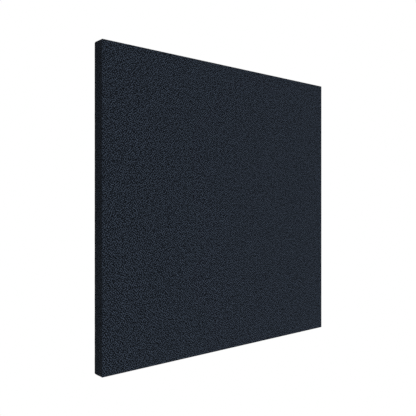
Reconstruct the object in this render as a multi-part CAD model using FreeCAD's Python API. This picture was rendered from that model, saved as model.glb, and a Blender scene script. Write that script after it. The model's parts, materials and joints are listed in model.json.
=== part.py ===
import FreeCAD, Part
import math
import os

# Wall punch pad: a square upholstered striking pad that hangs on two Z-shaped rails screwed to a wall.
#
# The pad is a plywood board faced with a firm and a soft foam layer, all wrapped in one sheet of textured
# vinyl, which turns round the board's edge and is stapled to its back. Four Z-clips on the board hook over
# the two wall rails, so the pad is lifted off by hand, and five rubber bumpers carry the blows into the wall.
#
# The part's own frame, in millimetres: +Z up, X across the pad, and the wall is the plane Y = 0 with the pad
# in front of it, at negative Y. The origin is the middle of the rails' screw pattern, which is also the
# middle of the pad's square outline.

# The pad as a whole.
PAD_SIDE = 600.0
PAD_THICKNESS = 30.0
COVER_T = 1.0
BOARD_T = 9.0
SOFT_FOAM_T = 8.0
EDGE_R = 2.0
SIDE_EDGE_R = 3.0
RETURN_W = 36.0
MITRE_GAP = 0.5

# The Z-section of the rails and clips. Both are cut from one profile, which hooks into itself turned round.
STANDOFF = 9.0
SECTION_T = 2.0
FLANGE_H = 18.0
LIP_H = 12.0
SEAT_GAP = 0.1
TIP_CHAMFER = 0.6
BEND_ANGLE = 45.0
BEND_R = 1.2
CORNER_R = 3.0
RAIL_LENGTH = 500.0
CLIP_LENGTH = 60.0
CLIP_X = 140.0

# Holes in the rails for the wall screws. The slots suit studs at 400 mm and at 16 inches.
RAIL_HOLE_PITCH_Z = 380.0
SLOT_PITCH_X = 403.0
SLOT_LENGTH = 14.0
WALL_HOLE_R = 2.75

# M5 pan head screws that hold each clip, and the tee nuts that they turn into.
CLIP_SCREW_PITCH = 36.0
CLIP_HOLE_R = 2.75
M5_SHANK_R = 2.45
M5_LENGTH = 10.0
M5_POINT = 0.8
M5_HEAD_R = 4.75
M5_HEAD_H = 3.2
TEE_BORE_R = 2.5
TEE_BARREL_R = 3.2
TEE_FLANGE_R = 8.5
TEE_FLANGE_T = 1.2
TEE_BARREL_L = 6.5
TEE_PRONG_L = 4.0
TEE_PRONG_W = 2.4
TEE_PRONG_T = 1.0
TEE_PRONGS = 4

# Rubber bumpers, each with a steel washer moulded in and a wood screw.
BUMPER_XZ = 245.0
BUMPER_BASE_R = 12.5
BUMPER_BASE_H = 1.0
BUMPER_TOP_R = 11.0
BUMPER_FLOOR = 3.0
BUMPER_WELL_R = 5.5
BUMPER_RIM_R = 0.9
BUMPER_HOLE_R = 2.2
WASHER_R = 7.5
WASHER_T = 1.0
WOOD_SHANK_R = 2.0
WOOD_LENGTH = 10.0
WOOD_POINT = 3.0
WOOD_HEAD_R = 4.0
WOOD_HEAD_H = 2.4

# A pan head's rounding and cross recess, as shares of its height or radius.
HEAD_ROUNDING = 0.6
RECESS_DEPTH = 0.6
RECESS_REACH = 0.52
RECESS_HALF_W = 0.11

# Upholstery staples through the turned-in edge of the cover.
STAPLE_CROWN = 10.0
STAPLE_WIRE_W = 0.9
STAPLE_WIRE_T = 0.6
STAPLE_LEG = 8.0
STAPLE_INSET = 22.0
STAPLES_PER_SIDE = 15
STAPLE_SPAN = 520.0

# Air vents through the board.
VENT_R = 8.0
VENT_X = 110.0
VENT_Z = 90.0

# The slip left between parts that would otherwise touch, and the tolerance for picking edges.
CLEAR = 0.05

MM3_PER_CM3 = 1000

# Planes across the pad, from the wall outwards.
BOARD_BACK_Y = -STANDOFF
BOARD_FRONT_Y = BOARD_BACK_Y - BOARD_T
PAD_BACK_Y = BOARD_BACK_Y + COVER_T
PAD_FRONT_Y = PAD_BACK_Y - PAD_THICKNESS
FOAM_FRONT_Y = PAD_FRONT_Y + COVER_T
FOAM_SPLIT_Y = FOAM_FRONT_Y + SOFT_FOAM_T
HALF = PAD_SIDE / 2
CORE_HALF = HALF - COVER_T

# The Z-section's own sizes. Four thicknesses and three equal slips fill the standoff.
SLIP = (STANDOFF - 4 * SECTION_T) / 3
JOG = 2 * SECTION_T + 2 * SLIP
MITRE = SECTION_T / 2 * math.tan(math.radians(BEND_ANGLE / 2))
CLIP_OUTER_Y = BOARD_BACK_Y + SECTION_T

# Heights in one rail and clip pair, from the rail's screw line.
BEND_Z = FLANGE_H / 2
RAIL_TIP_Z = BEND_Z + JOG + LIP_H
CLIP_TIP_Z = BEND_Z + MITRE + 2 * SECTION_T + SLIP - TIP_CHAMFER + SEAT_GAP
CLIP_SCREW_Z = RAIL_TIP_Z + CLIP_TIP_Z


def box(x, y, z):
    """A box from three (low, high) pairs."""
    return Part.makeBox(
        x[1] - x[0], y[1] - y[0], z[1] - z[0], FreeCAD.Vector(x[0], y[0], z[0])
    )


def rod(radius, x, z, y_from, y_to):
    """A round bar along Y."""
    base = FreeCAD.Vector(x, y_from, z)
    return Part.makeCylinder(radius, y_to - y_from, base, FreeCAD.Vector(0, 1, 0))


def turned(outline, x, z):
    """A solid of revolution about an axis along Y, from (radius, y) points."""
    points = [FreeCAD.Vector(x + r, y, z) for r, y in outline]
    face = Part.Face(Part.makePolygon(points + points[:1]))
    return face.revolve(FreeCAD.Vector(x, 0, z), FreeCAD.Vector(0, 1, 0), 360)


def edges_along(shape, direction, where):
    """The straight edges that run along a direction and whose middle passes a test."""
    found = []
    for edge in shape.Edges:
        if edge.Curve.TypeId != "Part::GeomLine":
            continue
        if edge.tangentAt(edge.FirstParameter).cross(direction).Length > CLEAR:
            continue
        if where(edge.CenterOfMass):
            found.append(edge)
    return found


# --- The pad's layers -----------------------------------------------------------------------------


def rounded_slab(half, y_from, y_to, inset):
    """A square slab with its edges rounded, more where two sides meet. The inset comes off every radius."""
    slab = box((-half, half), (y_from, y_to), (-half, half))
    between_sides = edges_along(slab, FreeCAD.Vector(0, 1, 0), lambda c: True)
    slab = slab.makeFillet(SIDE_EDGE_R - inset, between_sides)
    rims = [e for e in slab.Edges if e.BoundBox.YLength < CLEAR]
    return slab.makeFillet(EDGE_R - inset, rims)


def core():
    """Foam and board together, as the cover wraps them."""
    return rounded_slab(CORE_HALF, FOAM_FRONT_Y, BOARD_BACK_Y, COVER_T)


def layer(y_from, y_to):
    """The slice of the core between two planes."""
    return core().common(box((-HALF, HALF), (y_from, y_to), (-HALF, HALF)))


def mitre_slits():
    """Thin cuts along the back's diagonals, where the returns meet at each corner."""
    near = (HALF - RETURN_W - MITRE_GAP) * math.sqrt(2)
    far = (HALF - SIDE_EDGE_R) * math.sqrt(2)
    slits = []
    for quarter in range(4):
        slit = box((near, far), (BOARD_BACK_Y, PAD_BACK_Y), (-MITRE_GAP / 2, MITRE_GAP / 2))
        slit.rotate(FreeCAD.Vector(), FreeCAD.Vector(0, 1, 0), 90 * (quarter + 0.5))
        slits.append(slit)
    return slits


def cover():
    """The vinyl skin: face, four sides and the mitred returns on the back."""
    skin = rounded_slab(HALF, PAD_FRONT_Y, PAD_BACK_Y, 0).cut(core())
    window = HALF - RETURN_W
    skin = skin.cut(box((-window, window), (BOARD_BACK_Y, PAD_BACK_Y), (-window, window)))
    return skin.cut(Part.makeCompound(mitre_slits()))


def clip_screw_points():
    """(x, z) of every screw that holds a clip."""
    return [
        (side * CLIP_X + end * CLIP_SCREW_PITCH / 2, row * RAIL_HOLE_PITCH_Z / 2 + CLIP_SCREW_Z)
        for row in (1, -1)
        for side in (-1, 1)
        for end in (-1, 1)
    ]


def bumper_points():
    """Name and (x, z) of each bumper."""
    points = {"centre": (0.0, 0.0)}
    for row, z in (("upper", BUMPER_XZ), ("lower", -BUMPER_XZ)):
        for side, x in (("left", -BUMPER_XZ), ("right", BUMPER_XZ)):
            points[f"{row}_{side}"] = (x, z)
    return points


def backing_board():
    """The plywood board, drilled for tee nuts, bumper screws and air vents."""
    board = layer(BOARD_FRONT_Y, BOARD_BACK_Y)
    drilled = []
    for x, z in clip_screw_points():
        drilled.append(rod(TEE_BARREL_R + CLEAR, x, z, BOARD_FRONT_Y, BOARD_BACK_Y))
        pocket = BOARD_FRONT_Y + TEE_FLANGE_T + CLEAR
        drilled.append(rod(TEE_FLANGE_R + CLEAR, x, z, BOARD_FRONT_Y, pocket))
    for x, z in bumper_points().values():
        tip = bumper_seat() - WOOD_LENGTH - CLEAR
        drilled.append(rod(WOOD_SHANK_R + CLEAR, x, z, tip, BOARD_BACK_Y))
    for x in (-VENT_X, VENT_X):
        for z in (-VENT_Z, VENT_Z):
            drilled.append(rod(VENT_R, x, z, BOARD_FRONT_Y, BOARD_BACK_Y))
    return board.cut(Part.makeCompound(drilled))


# --- Rails and clips ------------------------------------------------------------------------------


def z_section(length):
    """The rail, with its screw line on the X axis, its flange on the wall and its lip turned up."""
    t, far = SECTION_T, SECTION_T + JOG
    outline = [
        (0, -FLANGE_H / 2),
        (0, BEND_Z + MITRE),
        (-JOG, BEND_Z + JOG + MITRE),
        (-JOG, RAIL_TIP_Z),
        (-far, RAIL_TIP_Z),
        (-far, BEND_Z + JOG - MITRE),
        (-t, BEND_Z - MITRE),
        (-t, -FLANGE_H / 2),
    ]
    points = [FreeCAD.Vector(-length / 2, y, z) for y, z in outline]
    face = Part.Face(Part.makePolygon(points + points[:1]))
    section = face.extrude(FreeCAD.Vector(length, 0, 0))

    along_x, along_y = FreeCAD.Vector(1, 0, 0), FreeCAD.Vector(0, 1, 0)
    foot_z, tip_z = CLEAR - FLANGE_H / 2, RAIL_TIP_Z - CLEAR
    bends = edges_along(section, along_x, lambda c: foot_z < c.z < tip_z)
    section = section.makeFillet(BEND_R, bends)
    tip = edges_along(section, along_x, lambda c: c.z > tip_z)
    section = section.makeChamfer(TIP_CHAMFER, tip)
    foot = edges_along(section, along_y, lambda c: c.z < foot_z)
    return section.makeFillet(CORNER_R, foot)


def wall_rail(row):
    """A rail with a slot near each end and a round hole in the middle."""
    rail = z_section(RAIL_LENGTH)
    straight = SLOT_LENGTH / 2 - WALL_HOLE_R
    through = (-SECTION_T, 0)
    for x in (-SLOT_PITCH_X / 2, SLOT_PITCH_X / 2):
        slot = box((x - straight, x + straight), through, (-WALL_HOLE_R, WALL_HOLE_R))
        for end in (x - straight, x + straight):
            slot = slot.fuse(rod(WALL_HOLE_R, end, 0, *through))
        rail = rail.cut(slot.removeSplitter())
    rail = rail.cut(rod(WALL_HOLE_R, 0, 0, *through))
    rail.translate(FreeCAD.Vector(0, 0, row * RAIL_HOLE_PITCH_Z / 2))
    return rail


def pad_clip(row, side):
    """A short length of the rail's section turned half round, its lip hanging down behind the rail's."""
    clip = z_section(CLIP_LENGTH)
    clip.rotate(FreeCAD.Vector(), FreeCAD.Vector(1, 0, 0), 180)
    clip.translate(FreeCAD.Vector(0, BOARD_BACK_Y, CLIP_SCREW_Z))
    for x in (-CLIP_SCREW_PITCH / 2, CLIP_SCREW_PITCH / 2):
        clip = clip.cut(rod(CLIP_HOLE_R, x, CLIP_SCREW_Z, BOARD_BACK_Y, CLIP_OUTER_Y))
    clip.translate(FreeCAD.Vector(side * CLIP_X, 0, row * RAIL_HOLE_PITCH_Z / 2))
    return clip


# --- Fasteners ------------------------------------------------------------------------------------


def pan_screw(x, z, seat_y, head, shank, point):
    """A pan head screw with a cross recess, its head towards the wall. The head is (radius, height), the
    shank is (radius, length), and the shank narrows over the length of its point."""
    head_r, head_h = head
    shank_r, length = shank
    top = seat_y + head_h
    pan = rod(head_r, x, z, seat_y, top)
    rim = [e for e in pan.Edges if e.CenterOfMass.y > top - CLEAR]
    pan = pan.makeFillet(head_h * HEAD_ROUNDING, rim)
    reach, half_w = head_r * RECESS_REACH, head_r * RECESS_HALF_W
    deep = (top - head_h * RECESS_DEPTH, top)
    recess = box((x - reach, x + reach), deep, (z - half_w, z + half_w))
    recess = recess.fuse(box((x - half_w, x + half_w), deep, (z - reach, z + reach)))
    tip = seat_y - length
    outline = [
        (0, seat_y),
        (shank_r, seat_y),
        (shank_r, tip + point),
        (shank_r - point / 2, tip),
        (0, tip),
    ]
    return pan.cut(recess).fuse(turned(outline, x, z)).removeSplitter()


def clip_screw(x, z):
    return pan_screw(x, z, CLIP_OUTER_Y, (M5_HEAD_R, M5_HEAD_H), (M5_SHANK_R, M5_LENGTH), M5_POINT)


def tee_nut(x, z):
    """A pronged tee nut, let in flush from the foam side of the board."""
    flange_y = BOARD_FRONT_Y + TEE_FLANGE_T
    nut = rod(TEE_FLANGE_R, x, z, BOARD_FRONT_Y, flange_y)
    nut = nut.fuse(rod(TEE_BARREL_R, x, z, flange_y, flange_y + TEE_BARREL_L))
    middle = TEE_FLANGE_R - TEE_PRONG_T
    for turn in range(TEE_PRONGS):
        prong = box(
            (x + middle - TEE_PRONG_T / 2, x + middle + TEE_PRONG_T / 2),
            (flange_y, flange_y + TEE_PRONG_L),
            (z - TEE_PRONG_W / 2, z + TEE_PRONG_W / 2),
        )
        prong.rotate(FreeCAD.Vector(x, 0, z), FreeCAD.Vector(0, 1, 0), 360 / TEE_PRONGS * (turn + 0.5))
        nut = nut.fuse(prong)
    bore = rod(TEE_BORE_R, x, z, BOARD_FRONT_Y, flange_y + TEE_BARREL_L)
    return nut.removeSplitter().cut(bore)


def bumper_seat():
    """The plane that a bumper screw's head bears on: the outer face of the moulded-in washer."""
    return BOARD_BACK_Y + BUMPER_FLOOR + WASHER_T


def bumper_washer(x, z):
    low, high = BOARD_BACK_Y + BUMPER_FLOOR, bumper_seat()
    return rod(WASHER_R, x, z, low, high).cut(rod(BUMPER_HOLE_R, x, z, low, high))


def bumper(x, z):
    """A tapered rubber foot with a well for the screw head."""
    outline = [
        (BUMPER_HOLE_R, BOARD_BACK_Y),
        (BUMPER_BASE_R, BOARD_BACK_Y),
        (BUMPER_BASE_R, BOARD_BACK_Y + BUMPER_BASE_H),
        (BUMPER_TOP_R, 0),
        (BUMPER_WELL_R, 0),
        (BUMPER_WELL_R, bumper_seat()),
        (BUMPER_HOLE_R, bumper_seat()),
    ]
    rubber = turned(outline, x, z)
    circles = [e for e in rubber.Edges if e.Curve.TypeId == "Part::GeomCircle"]
    rims = [e for e in circles if e.CenterOfMass.y > -CLEAR]
    return rubber.makeFillet(BUMPER_RIM_R, rims).cut(bumper_washer(x, z))


def bumper_screw(x, z):
    head, shank = (WOOD_HEAD_R, WOOD_HEAD_H), (WOOD_SHANK_R, WOOD_LENGTH)
    return pan_screw(x, z, bumper_seat(), head, shank, WOOD_POINT)


def staple(along):
    """A staple of the top side, at a place along it, its crown on the cover and its legs in the board."""
    half, wire, thick = STAPLE_CROWN / 2, STAPLE_WIRE_W / 2, STAPLE_WIRE_T
    z = (HALF - STAPLE_INSET - wire, HALF - STAPLE_INSET + wire)
    piece = box((along - half, along + half), (PAD_BACK_Y, PAD_BACK_Y + thick), z)
    for x in (along - half, along + half - thick):
        piece = piece.fuse(box((x, x + thick), (PAD_BACK_Y - STAPLE_LEG, PAD_BACK_Y), z))
    return piece.removeSplitter()


def staple_row(turn):
    """One side's staples. Turn 0 is the top side, and each further turn is a quarter round."""
    row = []
    for i in range(STAPLES_PER_SIDE):
        along = STAPLE_SPAN * (i / (STAPLES_PER_SIDE - 1) - 0.5)
        piece = staple(along)
        piece.rotate(FreeCAD.Vector(), FreeCAD.Vector(0, 1, 0), 90 * turn)
        row.append(piece)
    return row


# --- The nodes ------------------------------------------------------------------------------------


def nodes():
    """Every node: its name and its solids."""
    made = {
        "cover": [cover()],
        "strike_foam": [layer(FOAM_FRONT_Y, FOAM_SPLIT_Y)],
        "shock_foam": [layer(FOAM_SPLIT_Y, BOARD_FRONT_Y)],
        "backing_board": [backing_board()],
        "clip_screws": [clip_screw(x, z) for x, z in clip_screw_points()],
        "tee_nuts": [tee_nut(x, z) for x, z in clip_screw_points()],
        "bumper_screws": [bumper_screw(x, z) for x, z in bumper_points().values()],
        "bumper_washers": [bumper_washer(x, z) for x, z in bumper_points().values()],
    }
    for turn, name in enumerate(("top", "right", "bottom", "left")):
        made[f"{name}_staples"] = staple_row(turn)
    for row_name, row in (("upper", 1), ("lower", -1)):
        made[f"{row_name}_wall_rail"] = [wall_rail(row)]
        for side_name, side in (("left", -1), ("right", 1)):
            made[f"{row_name}_{side_name}_clip"] = [pad_clip(row, side)]
    for name, (x, z) in bumper_points().items():
        made[f"{name}_bumper"] = [bumper(x, z)]
    return made


def main():
    os.makedirs("parts", exist_ok=True)
    for name, solids in nodes().items():
        shape = solids[0] if len(solids) == 1 else Part.makeCompound(solids)
        count = len(shape.Solids)
        if not shape.isValid() or count != len(solids):
            raise ValueError(f"{name}: valid {shape.isValid()}, {count} solids, expected {len(solids)}")
        shape.exportStep(os.path.join("parts", name + ".step"))
        size = shape.BoundBox
        print(
            f"{name:20} {count:3} solids {shape.Volume / MM3_PER_CM3:9.2f} cm3"
            f"  x {size.XMin:8.2f} {size.XMax:8.2f}"
            f"  y {size.YMin:7.2f} {size.YMax:7.2f}  z {size.ZMin:8.2f} {size.ZMax:8.2f}"
        )


main()
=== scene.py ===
import json
import math
import random

import bmesh
import bpy
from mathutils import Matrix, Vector, noise


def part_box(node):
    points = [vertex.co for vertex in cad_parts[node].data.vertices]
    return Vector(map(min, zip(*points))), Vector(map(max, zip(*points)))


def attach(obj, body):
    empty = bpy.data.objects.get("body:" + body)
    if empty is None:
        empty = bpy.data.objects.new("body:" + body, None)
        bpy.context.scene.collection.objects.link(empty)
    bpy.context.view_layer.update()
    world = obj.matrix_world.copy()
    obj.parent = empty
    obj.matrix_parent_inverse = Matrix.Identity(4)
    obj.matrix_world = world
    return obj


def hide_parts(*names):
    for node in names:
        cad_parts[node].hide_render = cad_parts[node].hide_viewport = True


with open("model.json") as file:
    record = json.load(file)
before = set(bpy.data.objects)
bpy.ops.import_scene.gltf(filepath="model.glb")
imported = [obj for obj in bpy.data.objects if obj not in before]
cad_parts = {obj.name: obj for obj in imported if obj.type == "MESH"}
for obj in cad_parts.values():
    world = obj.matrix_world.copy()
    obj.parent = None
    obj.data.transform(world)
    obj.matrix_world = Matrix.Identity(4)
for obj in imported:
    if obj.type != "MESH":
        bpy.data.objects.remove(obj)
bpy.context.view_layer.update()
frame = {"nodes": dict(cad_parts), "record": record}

# Looks of the wall punch pad, in metres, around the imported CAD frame. The vinyl cover and the two foam layers
# are new meshes. Every hard part keeps its CAD shape and gets a material.

MM = 0.001
SEED = 7
SEEDS_PER_SIDE = 100

# Places read from the frame.
cover_low, cover_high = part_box("cover")
HALF = cover_high.x
FRONT_Y = cover_low.y
BACK_Y = cover_high.y
SIDE_DEPTH = BACK_Y - FRONT_Y
BOARD_FRONT_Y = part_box("backing_board")[0].y
BOARD_BACK_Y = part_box("backing_board")[1].y
COVER_T = BACK_Y - BOARD_BACK_Y
STAPLE_LINE = (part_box("top_staples")[0].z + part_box("top_staples")[1].z) / 2
STAPLE_CROWN = 10 * MM
STAPLES_PER_SIDE = 15
STAPLE_PITCH = (2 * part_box("top_staples")[1].x - STAPLE_CROWN) / (STAPLES_PER_SIDE - 1)

# The cover's shape.
EDGE_R = 1.4 * MM
RETURN_W = 36 * MM
CROWN = 1.2 * MM
CROWN_EDGE = 90 * MM

# Its sides: drawn in over the foam, waved by the staples, and smooth near the corners.
FOAM_SINK = 0.25 * MM
SINK_RAMP = 6 * MM
BOARD_RAMP = 3 * MM
SIDE_WAVE = 0.2 * MM
CORNER_RAMP = 12 * MM

# Its corners: spare vinyl folded under the top and bottom sides, and the line where that fold ends.
EAR_RAISE = 0.9 * MM
EAR_RAMP = 9 * MM
EAR_START = 4 * MM
EAR_DEPTH = 0.7 * SIDE_DEPTH
SEAM_DEPTH = 0.8 * MM
SEAM_WIDTH = 0.7 * MM
SEAM_INSET = 3 * MM
SEAM_START = 3 * MM
SEAM_RAMP = 8 * MM

# Its returns on the back: laps at the corners, puffs between staples, and a cut edge that lifts and wanders.
LAP_RAISE = 2.2 * MM
LAP_WIDTH = 9 * MM
LAP_RAMP = 6 * MM
LAP_START = 6 * MM
LAP_GAP = 0.02 * MM
UNDER_LAP = 8 * MM
LEAST_THICKNESS = 0.02
PUFF = 0.45 * MM
PUFF_RISE = 6 * MM
PUFF_FALL = 5 * MM
EDGE_LIFT = 1.5 * MM
LEAST_LIFT = 0.2
STAPLED_LIFT = 0.25
LIFT_START = 2 * MM
LIFT_RAMP = 13 * MM
RETURN_END_RAMP = 14 * MM
CUT_WOBBLE = 0.9 * MM
WOBBLES = 9
WOBBLE_SHIFT = 3.1

# The grids that the meshes are made of.
GRID_STEP = 7.5 * MM
DEPTH_STEP = 2.6 * MM
ARC_STEPS = 4
TURN_STEPS = 6
RUN_STEPS = 4
LINE_GAP = 0.3 * MM
MERGE = 0.004 * MM
SHARP_ANGLE = math.radians(38)


# --- Small helpers --------------------------------------------------------------------------------


def smooth(t):
    """0 below 0, 1 above 1, and an S-curve between."""
    t = min(1.0, max(0.0, t))
    return t * t * (3 - 2 * t)


def clamp(value, low, high):
    return min(high, max(low, value))


def spread(low, high, step):
    """Evenly spaced numbers from low to high, at most a step apart."""
    count = max(1, math.ceil((high - low) / step - 1e-6))
    return [low + (high - low) * i / count for i in range(count + 1)]


def lines_across(low, high, radius, step, extra=()):
    """Grid lines from low to high: fine round both rounded edges, with extra lines for finer detail."""
    arc = [radius * (1 - math.tan(math.pi / 4 * (1 - i / ARC_STEPS))) for i in range(ARC_STEPS)]
    middle = spread(low + radius, high - radius, step)
    middle = [m for m in middle if all(abs(m - e) > LINE_GAP for e in extra)]
    lines = [low + a for a in arc] + sorted(middle + list(extra)) + [high - a for a in reversed(arc)]
    return lines


def shaded_object(name, bm):
    """An object from a bmesh, shaded smooth with its true corners kept sharp."""
    for face in bm.faces:
        face.smooth = True
    for edge in bm.edges:
        if len(edge.link_faces) == 2:
            edge.smooth = edge.calc_face_angle(0.0) < SHARP_ANGLE
    mesh = bpy.data.meshes.new(name)
    bm.to_mesh(mesh)
    bm.free()
    obj = bpy.data.objects.new(name, mesh)
    bpy.context.scene.collection.objects.link(obj)
    return obj


# --- Rounded slabs --------------------------------------------------------------------------------


class Slab:
    """A slab with rounded edges, made of one square grid per face."""

    def __init__(self, low, high, radius):
        self.low, self.high, self.radius = low, high, radius

    def point(self, flat):
        """The rounded point and the normal for a point of the square box."""
        core = Vector(
            clamp(flat[i], self.low[i] + self.radius, self.high[i] - self.radius) for i in range(3)
        )
        normal = (flat - core).normalized()
        return core + normal * self.radius, normal


def add_grid(bm, rows, columns, place, cut, keep=None):
    """Adds a grid of quads. From (row, column), place gives a point and cut its place on the flat material.
    keep says which cells are made."""
    sheet = bm.loops.layers.uv.get("sheet") or bm.loops.layers.uv.new("sheet")
    points = [[bm.verts.new(place(r, c)) for c in columns] for r in rows]
    flat = [[cut(r, c) for c in columns] for r in rows]
    for i in range(len(rows) - 1):
        for j in range(len(columns) - 1):
            if keep and not keep((rows[i] + rows[i + 1]) / 2, (columns[j] + columns[j + 1]) / 2):
                continue
            corners = [(i, j), (i, j + 1), (i + 1, j + 1), (i + 1, j)]
            face = bm.faces.new([points[r][c] for r, c in corners])
            for loop, (r, c) in zip(face.loops, corners):
                loop[sheet].uv = flat[r][c]


def slab_faces(bm, slab, lines, relief, back=None):
    """The six faces of a slab, from its grid lines along x, y and z. back picks the back face's cells."""
    xs, ys, zs = lines

    def placed(x, y, z):
        point, normal = slab.point(Vector((x, y, z)))
        return relief(point, normal)

    def turned(edge, y):
        """How far out a side's point lies on the flat material."""
        return edge + math.copysign(y - slab.low.y, edge)

    add_grid(bm, xs, zs, lambda x, z: placed(x, slab.low.y, z), lambda x, z: (x, z))
    add_grid(bm, xs, zs, lambda x, z: placed(x, slab.high.y, z), lambda x, z: (x + 1, z), back)
    for x in (slab.low.x, slab.high.x):
        add_grid(bm, ys, zs, lambda y, z, x=x: placed(x, y, z), lambda y, z, x=x: (turned(x, y), z))
    for z in (slab.low.z, slab.high.z):
        add_grid(bm, xs, ys, lambda x, y, z=z: placed(x, y, z), lambda x, y, z=z: (x, turned(z, y)))


def clean(bm):
    """Joins the grids along their shared lines and turns every face outwards."""
    bmesh.ops.remove_doubles(bm, verts=bm.verts, dist=MERGE)
    loose = [v for v in bm.verts if not v.link_faces]
    bmesh.ops.delete(bm, geom=loose, context="VERTS")
    bmesh.ops.recalc_face_normals(bm, faces=bm.faces)
    foremost = min(bm.faces, key=lambda f: f.calc_center_median().y)
    if foremost.normal.y > 0:
        bmesh.ops.reverse_faces(bm, faces=bm.faces)


# --- The cover ------------------------------------------------------------------------------------


def crown(x, z):
    """How far the stuffed face stands proud: a low dome, flat in the middle and dying out at the edges."""
    def fall(value):
        return smooth((HALF - abs(value)) / CROWN_EDGE)
    return CROWN * fall(x) * fall(z)


def staple_gap(along):
    """0 at a staple's crown, rising to 1 midway to the next one."""
    off = abs((along / STAPLE_PITCH + 0.5) % 1 - 0.5) * STAPLE_PITCH
    return smooth((off - 0.6 * STAPLE_CROWN) / (STAPLE_PITCH / 3))


def side_relief(along, across, y):
    """A side's relief. along runs beside the edge, across is the distance to the nearer corner."""
    before_board = smooth((BOARD_FRONT_Y + BOARD_RAMP / 2 - y) / BOARD_RAMP)
    over_foam = before_board * smooth((y - FRONT_Y - EDGE_R) / SINK_RAMP)
    wave = SIDE_WAVE * (staple_gap(along) - 0.5) * smooth((y - FRONT_Y) / SIDE_DEPTH)
    return (wave - FOAM_SINK * over_foam) * smooth((across - 2 * EDGE_R) / CORNER_RAMP)


def ear_raise(across, y):
    """The corner's spare vinyl, folded flat under the top and bottom sides: it thickens backwards."""
    depth = y - FRONT_Y
    return EAR_RAISE * smooth((depth - across) / EAR_RAMP) * smooth((depth - EAR_START) / EAR_DEPTH)


def corner_seam(across, y):
    """The dark line on the left and right sides where the fold of the top or bottom side ends."""
    near = math.exp(-(((across - SEAM_INSET) / SEAM_WIDTH) ** 2))
    begun = smooth((y - FRONT_Y - SEAM_START) / SEAM_RAMP)
    return SEAM_DEPTH * near * begun * smooth((BACK_Y - y) / EDGE_R)


# The relief fades in from here to 1, as a normal comes nearer to an axis.
RELIEF_FROM = 0.75


def cover_relief(point, normal):
    """Moves a point of the plain cover out or in, along its normal."""
    x, y, z = point
    facing = [abs(n) for n in normal]
    strength = smooth((max(facing) - RELIEF_FROM) / (1 - RELIEF_FROM))
    if facing[1] == max(facing):
        amount = crown(x, z) if normal.y < 0 else 0.0
    elif facing[2] == max(facing):
        across = HALF - abs(x)
        amount = side_relief(x, across, y) + ear_raise(across, y) * smooth(across / EDGE_R)
    else:
        across = HALF - abs(z)
        amount = side_relief(z, across, y) - corner_seam(across, y)
    return point + normal * amount * strength


def edge_lift(side, along):
    """How far the cut edge of a return lifts off the board, different in each gap between staples."""
    gap = math.floor(along / STAPLE_PITCH + 0.5)
    seeds = [SEED + SEEDS_PER_SIDE * side + g for g in (gap, gap + 1)]
    shares = [random.Random(seed).uniform(LEAST_LIFT, 1.0) for seed in seeds]
    part = (along / STAPLE_PITCH + 0.5) % 1
    share = shares[0] + (shares[1] - shares[0]) * smooth(part)
    return EDGE_LIFT * share * (STAPLED_LIFT + (1 - STAPLED_LIFT) * staple_gap(along))


def return_height(side, along, inward):
    """How far a return's outer face stands off its flat plane between staples and along its cut edge."""
    from_staple = inward - (HALF - EDGE_R - STAPLE_LINE)
    puff = PUFF * staple_gap(along) * smooth(inward / PUFF_RISE) * (1 - smooth(from_staple / PUFF_FALL))
    lift = edge_lift(side, along) * smooth((from_staple - LIFT_START) / LIFT_RAMP)
    return puff + lift


def quarter_turned(side, along, across):
    """(x, z) of a place along a side. Side 0 is the top, and the rest go clockwise from in front."""
    return ((along, across), (across, -along), (-along, -across), (-across, along))[side]


def on_side(side, along, inward, height):
    """A point on the back, given along a side, inward from its edge and off the flat."""
    x, z = quarter_turned(side, along, HALF - EDGE_R - inward)
    return Vector((x, BACK_Y + height, z))


def return_rows():
    """How far inward each row of a return's grid lies. The rows are closest at the fold."""
    width = RETURN_W - EDGE_R
    near = [d * MM for d in (0, 0.7, 1.8, 3.2, 5, 7.5, 10, 13)]
    return near + spread(16 * MM, width - 2 * MM, DEPTH_STEP) + [width]


def fold_steps():
    """The extra columns of a corner's fold: 0 to 1 goes round its half turn, and 1 to 2 back underneath."""
    turn = [i / TURN_STEPS for i in range(1, TURN_STEPS + 1)]
    return turn + [1 + i / RUN_STEPS for i in range(1, RUN_STEPS + 1)]


def add_return(bm, side, edge_lines):
    """One turned-in edge of the cover. The top and bottom ones lap over the others with a folded corner."""
    over = side in (0, 2)
    width = RETURN_W - EDGE_R
    reach = HALF - EDGE_R
    fold = fold_steps() if over else []

    def point(row, column):
        share, extra = column
        full = row / width
        cut = noise.noise(Vector((share * WOBBLES, side * WOBBLE_SHIFT, 0.5))) * CUT_WOBBLE * full
        inward = row + cut * (1 - abs(share) ** 8)
        end = reach - inward if over else reach - inward * (1 - UNDER_LAP / width)
        along = share * end
        height = return_height(side, along, inward) * smooth((end - abs(along)) / RETURN_END_RAMP)
        if not over:
            return on_side(side, along, inward, height)
        grow = fold_start(row)
        raised = LAP_RAISE * grow
        height += raised * (1 - smooth((end - abs(along) - LAP_WIDTH) / LAP_RAMP))
        if extra:
            sign = math.copysign(1, share)
            turn = min(extra, 1.0) * math.pi
            run = max(extra - 1, 0) * LAP_WIDTH * grow
            along = sign * (end + raised / 2 * math.sin(turn) - run)
            height = raised / 2 * (1 + math.cos(turn)) + LAP_GAP * grow
        return on_side(side, along, inward, height)

    def cut_from(row, column):
        share, extra = column
        along = share * (reach - row) + math.copysign(extra * LAP_WIDTH, share)
        return quarter_turned(side, along, HALF + SIDE_DEPTH + row)

    columns = [(line / reach, 0) for line in edge_lines]
    columns = [(-1.0, e) for e in reversed(fold)] + columns + [(1.0, e) for e in fold]
    add_grid(bm, return_rows(), columns, point, cut_from)


def fold_start(inward):
    """0 at the back edge, rising to 1 where a corner's fold has its full height."""
    return smooth(inward / LAP_START)


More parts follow.
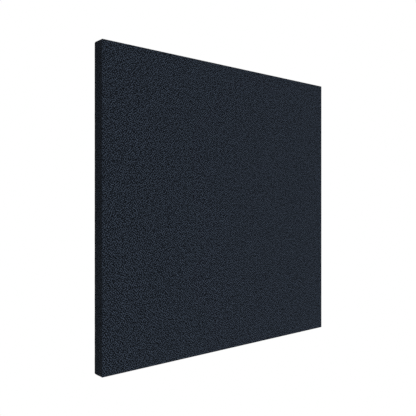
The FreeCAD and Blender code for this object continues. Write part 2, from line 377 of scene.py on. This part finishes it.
def kept_thickness(point):
    """The share of the vinyl's thickness at a point: all of it, but less where a corner's fold is tight."""
    inward = HALF - EDGE_R - max(abs(point.x), abs(point.z))
    from_fold = abs(abs(point.x) - abs(point.z))
    if point.y < BACK_Y - MERGE or from_fold > LAP_WIDTH + LAP_RAMP:
        return 1.0
    return clamp(fold_start(inward), LEAST_THICKNESS, 1.0)


def corner_lines():
    """Grid lines that the seams and folds near the corners need, closest at a seam."""
    seam = [HALF - SEAM_INSET + SEAM_WIDTH * k for k in (-1.6, -0.9, -0.4, 0, 0.4, 0.9)]
    corner = [HALF - d * MM for d in (7, 10, 14, 19, 25, 31)]
    return sorted([s * v for s in (-1, 1) for v in seam + corner])


def cover_mesh():
    """The vinyl's outer face as one open sheet."""
    bm = bmesh.new()
    slab = Slab(cover_low, cover_high, EDGE_R)
    across = lines_across(-HALF, HALF, EDGE_R, GRID_STEP, corner_lines())
    deep = lines_across(FRONT_Y, BACK_Y, EDGE_R, DEPTH_STEP)
    reach = HALF - EDGE_R
    slab_faces(
        bm,
        slab,
        (across, deep, across),
        cover_relief,
        back=lambda x, z: max(abs(x), abs(z)) > reach,
    )
    edge_lines = [v for v in across if abs(v) < reach + MERGE]
    for side in range(4):
        add_return(bm, side, edge_lines)
    clean(bm)
    kept = bm.verts.layers.deform.verify()
    for vertex in bm.verts:
        vertex[kept][0] = kept_thickness(vertex.co)
    return bm


def thickened(name, bm, thickness, materials):
    """Gives a sheet its thickness, inwards, and a second material on its inner face and cut edge."""
    mesh = bpy.data.meshes.new(name + "_outer")
    bm.to_mesh(mesh)
    bm.free()
    rough = bpy.data.objects.new(name + "_outer", mesh)
    bpy.context.scene.collection.objects.link(rough)
    for item in materials:
        mesh.materials.append(item)
    rough.vertex_groups.new(name="kept")
    solid = rough.modifiers.new("thickness", "SOLIDIFY")
    solid.vertex_group = "kept"
    solid.thickness = thickness
    solid.offset = -1
    solid.material_offset = 1
    solid.material_offset_rim = 1
    made = rough.evaluated_get(bpy.context.evaluated_depsgraph_get())
    result = bmesh.new()
    result.from_mesh(made.to_mesh())
    made.to_mesh_clear()
    bpy.data.objects.remove(rough)
    bpy.data.meshes.remove(mesh)
    obj = shaded_object(name, result)
    for item in materials:
        obj.data.materials.append(item)
    return obj


# --- Foam -----------------------------------------------------------------------------------------

FOAM_INSET = 0.6 * MM
FOAM_GAP = 0.02 * MM
FOAM_R = 1 * MM
FOAM_STEP = 12 * MM
FOAM_DEPTH_STEP = 2.5 * MM
FOAM_UNEVEN = 0.2 * MM
FOAM_UNEVEN_SCALE = 60
FRONT_FACING = -0.7


def foam_block(name, node, material_made, crowned):
    """A foam layer cut to its CAD solid, drawn in a little by the stretched cover."""
    low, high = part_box(node)
    inset = Vector((FOAM_INSET, FOAM_GAP, FOAM_INSET))
    low, high = low + inset, high - inset

    def relief(point, normal):
        if crowned and normal.y < FRONT_FACING:
            return point + normal * crown(point.x, point.z)
        uneven = noise.noise(point * FOAM_UNEVEN_SCALE) * FOAM_UNEVEN
        return point - normal * abs(uneven)

    bm = bmesh.new()
    across = lines_across(low.x, high.x, FOAM_R, FOAM_STEP)
    deep = lines_across(low.y, high.y, FOAM_R, FOAM_DEPTH_STEP)
    slab_faces(bm, Slab(low, high, FOAM_R), (across, deep, across), relief)
    clean(bm)
    obj = shaded_object(name, bm)
    obj.data.materials.append(material_made)
    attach(obj, "pad")
    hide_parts(node)
    return obj


# --- Material helpers -----------------------------------------------------------------------------


class Paint:
    """A material's node tree, with short calls for the nodes that the materials share."""

    def __init__(self, name):
        self.material = bpy.data.materials.new(name)
        self.material.use_nodes = True
        self.tree = self.material.node_tree
        self.shader = self.tree.nodes["Principled BSDF"]
        self.coords = self.tree.nodes.new("ShaderNodeTexCoord").outputs["Object"]

    def add(self, kind, settings=None, **inputs):
        """A node with its settings, and its inputs by name: a socket is linked, anything else is a value."""
        node = self.tree.nodes.new("ShaderNode" + kind)
        for key, value in (settings or {}).items():
            setattr(node, key, value)
        for key, value in inputs.items():
            self.put(node.inputs[key.replace("_", " ")], value)
        return node

    def put(self, socket, value):
        if isinstance(value, bpy.types.NodeSocket):
            self.tree.links.new(value, socket)
        else:
            socket.default_value = value

    def shade(self, **inputs):
        for key, value in inputs.items():
            self.put(self.shader.inputs[key.replace("_", " ")], value)

    def stretched(self, scale, source=None):
        """The object coordinates, scaled differently along each axis."""
        return self.add("Mapping", Vector=source or self.coords, Scale=scale).outputs["Vector"]

    def noise(self, scale, detail=2.0, roughness=0.5, vector=None, distortion=0.0):
        made = self.add(
            "TexNoise",
            Vector=vector or self.coords,
            Scale=scale,
            Detail=detail,
            Roughness=roughness,
            Distortion=distortion,
        )
        return made.outputs["Fac"]

    def cells(self, scale, feature="F1", dimensions="3D", output="Distance", vector=None, randomness=1.0):
        made = self.add(
            "TexVoronoi",
            {"feature": feature, "voronoi_dimensions": dimensions},
            Vector=vector or self.coords,
            Scale=scale,
            Randomness=randomness,
        )
        return made.outputs[output]

    def math(self, operation, a, b=0.0, c=0.0):
        node = self.add("Math", {"operation": operation})
        for socket, value in zip(node.inputs, (a, b, c)):
            self.put(socket, value)
        return node.outputs[0]

    def ranged(self, value, low, high, to_low=0.0, to_high=1.0, kind="SMOOTHSTEP"):
        node = self.add("MapRange", {"interpolation_type": kind})
        for key, number in (("Value", value), ("From Min", low), ("From Max", high)):
            self.put(node.inputs[key], number)
        self.put(node.inputs["To Min"], to_low)
        self.put(node.inputs["To Max"], to_high)
        return node.outputs[0]

    def ramp(self, value, stops):
        """A colour ramp from (place, (r, g, b)) stops, in order."""
        node = self.add("ValToRGB", Fac=value)
        band = node.color_ramp
        while len(band.elements) < len(stops):
            band.elements.new(1.0)
        for element, (place, colour) in zip(band.elements, stops):
            element.position = place
            element.color = (*colour, 1)
        return node.outputs["Color"]

    def mixed(self, share, a, b, blend="MIX"):
        node = self.add("Mix", {"data_type": "RGBA", "blend_type": blend})
        self.put(node.inputs[0], share)
        for socket, value in ((node.inputs[6], a), (node.inputs[7], b)):
            self.put(socket, (*value, 1) if isinstance(value, tuple) else value)
        return node.outputs[2]

    def warped(self, scale, amount, vector=None):
        """Coordinates pushed about by noise, so that nothing repeats in straight lines."""
        push = self.add("TexNoise", Vector=vector or self.coords, Scale=scale, Detail=2.0).outputs["Color"]
        centred = self.add("VectorMath", {"operation": "SUBTRACT"})
        self.put(centred.inputs[0], push)
        centred.inputs[1].default_value = (0.5, 0.5, 0.5)
        scaled = self.add("VectorMath", {"operation": "SCALE"})
        self.put(scaled.inputs[0], centred.outputs[0])
        scaled.inputs["Scale"].default_value = amount
        total = self.add("VectorMath", {"operation": "ADD"})
        self.put(total.inputs[0], vector or self.coords)
        self.put(total.inputs[1], scaled.outputs[0])
        return total.outputs[0]

    def bump(self, height, strength, distance):
        made = self.add("Bump", Height=height, Strength=strength, Distance=distance)
        return made.outputs["Normal"]


# --- Materials ------------------------------------------------------------------------------------

# The vinyl's grain: ridges that cross at a slant, cut into pebbles by pits, with finer creases over both.
GRAIN = 3.5 * MM
GRAIN_ANGLE = math.radians(45)
PIT_PITCH = 4.7 * MM
CREASE_PITCH = 1.5 * MM


def vinyl():
    """Matte navy-black upholstery vinyl with a pebbled leather grain, and painted shade in the grain's creases
    and pits.
    """
    p = Paint("vinyl")
    sheet = p.add("UVMap", {"uv_map": "sheet"}).outputs["UV"]
    place = p.warped(95, 2 * MM, sheet)

    def ridges(angle):
        made = p.add(
            "TexGabor",
            {"gabor_type": "2D"},
            Vector=place,
            Scale=1 / (2 * GRAIN),
            Frequency=2.0,
            Anisotropy=0.7,
            Orientation=angle,
        )
        return made.outputs["Value"]

    def flat_cells(pitch, **options):
        return p.cells(1 / pitch, dimensions="2D", vector=place, randomness=0.85, **options)

    ridge = p.ranged(p.math("ADD", ridges(GRAIN_ANGLE), ridges(-GRAIN_ANGLE)), 0.58, 1.42)
    pebble = p.ranged(flat_cells(GRAIN, feature="DISTANCE_TO_EDGE"), -0.12, 0.34)
    share = p.add("SeparateColor", Color=flat_cells(GRAIN, output="Color")).outputs[0]
    pit = p.ranged(flat_cells(PIT_PITCH), 0.42, 0.10)
    crease = p.ranged(p.cells(1 / CREASE_PITCH, "DISTANCE_TO_EDGE", "2D", vector=place), 0.0, 0.16)
    fine = p.noise(1 / (0.6 * MM), 3.0, 0.6)
    relief = p.math("MULTIPLY_ADD", pebble, p.math("MULTIPLY_ADD", share, 0.12, 0.19), ridge)
    relief = p.math("MULTIPLY", relief, p.math("MULTIPLY_ADD", pit, -0.5, 1.0))
    height = p.math("MULTIPLY_ADD", crease, 0.42, p.math("MULTIPLY_ADD", fine, 0.16, relief))
    # The colour follows the grain's height, with a little random tone per pebble: painted shade darkens the
    # creases and pits to near black, and the pebble tops are painted lighter where light would fall.
    colour = p.ramp(
        p.math("MULTIPLY", height, 0.55),
        [
            (0.32, (0.0000, 0.0002, 0.0004)),
            (0.50, (0.0039, 0.0054, 0.0081)),
            (0.78, (0.0564, 0.0752, 0.1087)),
        ],
    )
    p.shade(
        Base_Color=colour,
        Roughness=p.ranged(height, 0.2, 1.2, 0.85, 0.62, "LINEAR"),
        Specular_IOR_Level=0.04,
        Normal=p.bump(height, 1.0, 1.0 * MM),
    )
    return p.material


# How fast the backing's weave turns, in radians per metre: its threads are about 1 mm apart.
THREAD_TURNS = 6300.0


def backing_cloth():
    """The vinyl's woven backing, which shows along the cut edges."""
    p = Paint("backing_cloth")
    place = p.add("SeparateXYZ", Vector=p.coords).outputs
    warp, weft = (p.math("SINE", p.math("MULTIPLY", place[i], THREAD_TURNS)) for i in (0, 2))
    weave = p.math("MULTIPLY", warp, weft)
    fuzz = p.noise(2200, 4.0, 0.7)
    shade = p.math("MULTIPLY_ADD", weave, 0.2, fuzz)
    p.shade(
        Base_Color=p.ramp(shade, [(0.2, (0.12, 0.12, 0.125)), (0.9, (0.48, 0.47, 0.45))]),
        Roughness=0.95,
        Specular_IOR_Level=0.1,
        Normal=p.bump(shade, 0.6, 0.2 * MM),
    )
    return p.material


SOFT_PORE = 1.1 * MM
FIRM_PORE = 0.9 * MM
CRUMB = 9 * MM


def soft_foam():
    """Cream open-cell foam, with painted shade in its pores."""
    p = Paint("soft_foam")
    pores = p.cells(1 / SOFT_PORE, vector=p.warped(500, 0.4 * MM))
    blotch = p.noise(14, 3.0)
    # The pores are painted darker than the cream around them: painted shade in the pore hollows, under a faint
    # blotchy tone.
    tone = p.math("MULTIPLY_ADD", blotch, 0.5, pores)
    p.shade(
        Base_Color=p.ramp(tone, [(0.1, (0.30, 0.24, 0.13)), (0.8, (0.72, 0.64, 0.42))]),
        Roughness=0.95,
        Specular_IOR_Level=0.1,
        Normal=p.bump(pores, 0.8, 0.6 * MM),
    )
    return p.material


def firm_foam():
    """Bonded foam: crumbs of many greys and blues pressed together."""
    p = Paint("firm_foam")
    place = p.warped(90, 4 * MM)
    crumb = p.cells(1 / CRUMB, output="Color", vector=place)
    pick = p.add("SeparateColor", Color=crumb).outputs[0]
    tone = p.ramp(
        pick,
        [
            (0.0, (0.05, 0.055, 0.06)),
            (0.35, (0.14, 0.145, 0.15)),
            (0.6, (0.34, 0.33, 0.30)),
            (0.8, (0.07, 0.11, 0.17)),
            (1.0, (0.20, 0.26, 0.33)),
        ],
    )
    joint = p.ranged(p.cells(1 / CRUMB, "DISTANCE_TO_EDGE", vector=place), 0.0, 0.09)
    pores = p.cells(1 / FIRM_PORE)
    p.shade(
        Base_Color=p.mixed(joint, (0.02, 0.02, 0.022), tone),
        Roughness=0.95,
        Specular_IOR_Level=0.1,
        Normal=p.bump(p.math("MULTIPLY_ADD", joint, 0.6, pores), 0.8, 0.6 * MM),
    )
    return p.material


PLY = 1.3 * MM


def plywood():
    """Rotary-cut birch on the faces, with a knot here and there, and the plies inside the drilled holes."""
    p = Paint("plywood")
    place = p.warped(5, 0.05)
    flow = p.stretched((3.2, 3.2, 30.0), place)
    figure = p.noise(1.0, 5.0, 0.55, flow, 0.6)
    rings = p.add(
        "TexWave",
        {"wave_type": "BANDS", "bands_direction": "Z", "wave_profile": "SIN"},
        Vector=p.stretched((1.3, 1.0, 5.5), place),
        Scale=2.4,
        Distortion=9.0,
        Detail=3.0,
    ).outputs["Fac"]
    streak = p.noise(1.0, 4.0, 0.6, p.stretched((9.0, 9.0, 210.0), place))
    fibre = p.noise(1.0, 3.0, 0.6, p.stretched((90.0, 90.0, 2600.0)))
    pore = p.ranged(p.noise(1.0, 1.0, 0.5, p.stretched((160.0, 160.0, 3400.0))), 0.62, 0.72)
    knot_at = p.cells(1.0, vector=p.stretched((4.1, 0.01, 6.3), p.warped(14, 0.03)))
    knot = p.ranged(knot_at, 0.03, 0.1, 1.0, 0.0)
    grain = p.math("MULTIPLY_ADD", streak, 0.45, p.math("MULTIPLY", fibre, 0.3))
    tone = p.math("MULTIPLY_ADD", rings, 0.16, p.math("MULTIPLY_ADD", figure, 0.55, grain))
    face = p.ramp(
        tone,
        [
            (0.45, (0.42, 0.265, 0.135)),
            (0.70, (0.60, 0.425, 0.250)),
            (1.00, (0.74, 0.570, 0.370)),
        ],
    )
    face = p.mixed(p.math("MULTIPLY", pore, 0.45), face, (0.23, 0.125, 0.055))
    face = p.mixed(p.math("MULTIPLY", knot, 0.8), face, (0.115, 0.050, 0.022))
    depth = p.add("SeparateXYZ", Vector=p.coords).outputs[1]
    plies = p.math("SINE", p.math("MULTIPLY", depth, math.pi / PLY))
    inside = p.ramp(
        p.math("MULTIPLY_ADD", plies, 0.4, 0.5),
        [(0.35, (0.19, 0.10, 0.045)), (0.65, (0.52, 0.36, 0.20))],
    )
    facing = p.add("SeparateXYZ", Vector=p.add("NewGeometry").outputs["Normal"]).outputs[1]
    flat = p.ranged(p.math("ABSOLUTE", facing), 0.5, 0.9)
    height = p.math("MULTIPLY_ADD", fibre, 0.5, p.math("MULTIPLY", pore, -0.7))
    p.shade(
        Base_Color=p.mixed(flat, inside, face),
        Roughness=p.ranged(fibre, 0.2, 0.8, 0.72, 0.56, "LINEAR"),
        Specular_IOR_Level=0.35,
        Normal=p.bump(height, 0.35, 0.25 * MM),
    )
    return p.material


def aluminium():
    """Extruded aluminium with die lines along its length, faint handling marks and a dull oxide bloom."""
    p = Paint("aluminium")
    lines = p.noise(1.0, 4.0, 0.65, p.stretched((5.0, 3200.0, 3200.0)))
    bloom = p.noise(22, 4.0, 0.6)
    marks = p.noise(1.0, 1.0, 0.5, p.stretched((70.0, 900.0, 900.0), p.warped(30, 0.01)))
    scratch = p.ranged(marks, 0.66, 0.72)
    tone = p.math("MULTIPLY_ADD", bloom, 0.5, p.math("MULTIPLY", lines, 0.5))
    colour = p.ramp(tone, [(0.25, (0.50, 0.51, 0.53)), (0.75, (0.74, 0.75, 0.77))])
    rough = p.math("MULTIPLY_ADD", bloom, 0.22, p.math("MULTIPLY_ADD", lines, 0.1, 0.22))
    p.shade(
        Base_Color=p.mixed(p.math("MULTIPLY", scratch, 0.35), colour, (0.86, 0.87, 0.88)),
        Metallic=1.0,
        Roughness=rough,
        Anisotropic=0.5,
        Normal=p.bump(p.math("MULTIPLY_ADD", scratch, -0.5, lines), 0.25, 0.08 * MM),
    )
    return p.material


def zinc_steel():
    """Bright zinc plate, slightly blue, with cloudy patches."""
    p = Paint("zinc_steel")
    cloud = p.noise(240, 3.0, 0.6)
    grain = p.noise(3500, 2.0, 0.6)
    p.shade(
        Base_Color=p.ramp(cloud, [(0.3, (0.42, 0.44, 0.47)), (0.75, (0.70, 0.71, 0.70))]),
        Metallic=1.0,
        Roughness=p.math("MULTIPLY_ADD", cloud, 0.3, 0.16),
        Normal=p.bump(grain, 0.15, 0.05 * MM),
    )
    return p.material


def rubber():
    """Black moulded rubber, dusted and scuffed where it meets the wall."""
    p = Paint("rubber")
    grain = p.noise(900, 4.0, 0.65)
    depth = p.add("SeparateXYZ", Vector=p.coords).outputs[1]
    dust = p.math("MULTIPLY", p.ranged(depth, -3 * MM, 0.0), p.ranged(p.noise(160, 4.0, 0.6), 0.35, 0.7))
    dark = p.ramp(grain, [(0.3, (0.012, 0.012, 0.012)), (0.8, (0.034, 0.033, 0.032))])
    p.shade(
        Base_Color=p.mixed(p.math("MULTIPLY", dust, 0.4), dark, (0.22, 0.215, 0.205)),
        Roughness=p.math("MULTIPLY_ADD", grain, 0.25, 0.6),
        Specular_IOR_Level=0.35,
        Normal=p.bump(grain, 0.4, 0.15 * MM),
    )
    return p.material


MATERIALS = {"plywood": plywood, "aluminium": aluminium, "zinc_steel": zinc_steel, "rubber": rubber}


def paint_cad_nodes():
    """Gives each hard CAD node the material of its slot in the record."""
    made = {slot: make() for slot, make in MATERIALS.items()}
    for part in frame["record"]["subparts"]:
        slot = part["material_slot"]
        if slot in made:
            materials = frame["nodes"][part["node"]].data.materials
            materials.clear()
            materials.append(made[slot])


# --- Stage ----------------------------------------------------------------------------------------

FLOOR_Z = -1.25
FLOOR_R = 1.7
FLOOR_FADE = 0.7


def floor():
    """A plain pale floor well below the pad, which fades out into the white surroundings."""
    p = Paint("floor")
    away = p.add("VectorMath", {"operation": "LENGTH"})
    p.put(away.inputs[0], p.coords)
    seen = p.ranged(away.outputs["Value"], FLOOR_FADE, FLOOR_R, 1.0, 0.0)
    p.shade(Base_Color=(0.86, 0.86, 0.85, 1), Roughness=0.9, Specular_IOR_Level=0.1, Alpha=seen)
    bm = bmesh.new()
    bmesh.ops.create_circle(bm, cap_ends=True, radius=FLOOR_R, segments=96)
    mesh = bpy.data.meshes.new("floor")
    bm.to_mesh(mesh)
    bm.free()
    obj = bpy.data.objects.new("floor", mesh)
    obj.location.z = FLOOR_Z
    obj.data.materials.append(p.material)
    bpy.context.scene.collection.objects.link(obj)


SOFTNESS = math.radians(35)


def soft_light(name, azimuth, elevation, strength):
    """Broad, even light from one direction. Azimuth 0 is in front of the face, and 90 is at its right."""
    a, e = math.radians(azimuth), math.radians(elevation)
    towards = Vector((math.sin(a) * math.cos(e), -math.cos(a) * math.cos(e), math.sin(e)))
    data = bpy.data.lights.new(name, "SUN")
    data.energy = strength
    data.angle = SOFTNESS
    obj = bpy.data.objects.new(name, data)
    obj.location = towards
    obj.rotation_euler = towards.to_track_quat("Z", "Y").to_euler()
    bpy.context.scene.collection.objects.link(obj)


AMBIENT = 0.37


def surroundings():
    """White wherever the camera sees past the object, and a dimmer white as the light that falls on it."""
    world = bpy.data.worlds.new("surroundings")
    world.use_nodes = True
    tree = world.node_tree
    background = tree.nodes["Background"]
    background.inputs["Color"].default_value = (1, 1, 1, 1)
    seen = tree.nodes.new("ShaderNodeLightPath").outputs["Is Camera Ray"]
    strength = tree.nodes.new("ShaderNodeMath")
    strength.operation = "MULTIPLY_ADD"
    strength.inputs[1].default_value = 1 - AMBIENT
    strength.inputs[2].default_value = AMBIENT
    tree.links.new(seen, strength.inputs[0])
    tree.links.new(strength.outputs[0], background.inputs["Strength"])
    bpy.context.scene.world = world
    bpy.context.scene.view_settings.view_transform = "Standard"
    bpy.context.scene.view_settings.look = "None"
    # Without this, denoising smooths away most of the vinyl's grain, which is one to two pixels wide.
    bpy.context.scene.cycles.denoising_prefilter = "NONE"


# The camera looks level at the pad from its front left. Its place is in pad sides: left of the pad's left
# edge, out from its face and above its middle.
CAMERA_LEFT = 0.6929
CAMERA_OUT = 1.3790
CAMERA_UP = 0.0139
CAMERA_AZIMUTH = math.radians(-38.35)
CAMERA_LENS = 44.42
CAMERA_SENSOR = 36.0
CAMERA_SHIFT = -0.011


def camera():
    data = bpy.data.cameras.new("camera")
    data.lens = CAMERA_LENS
    data.sensor_width = CAMERA_SENSOR
    data.shift_y = CAMERA_SHIFT
    obj = bpy.data.objects.new("camera", data)
    bpy.context.scene.collection.objects.link(obj)
    side = 2 * HALF
    obj.location = (-HALF - CAMERA_LEFT * side, FRONT_Y - CAMERA_OUT * side, CAMERA_UP * side)
    obj.rotation_euler = (math.radians(90), 0, CAMERA_AZIMUTH)
    bpy.context.scene.camera = obj


# --- Putting it together --------------------------------------------------------------------------

cover = thickened("vinyl_cover", cover_mesh(), COVER_T, [vinyl(), backing_cloth()])
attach(cover, "pad")
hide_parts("cover")
strike = foam_block("strike_foam_block", "strike_foam", soft_foam(), True)
shock = foam_block("shock_foam_block", "shock_foam", firm_foam(), False)
paint_cad_nodes()

floor()
soft_light("key", azimuth=10, elevation=36, strength=2.8)
soft_light("back", azimuth=158, elevation=30, strength=2.0)
surroundings()
camera()
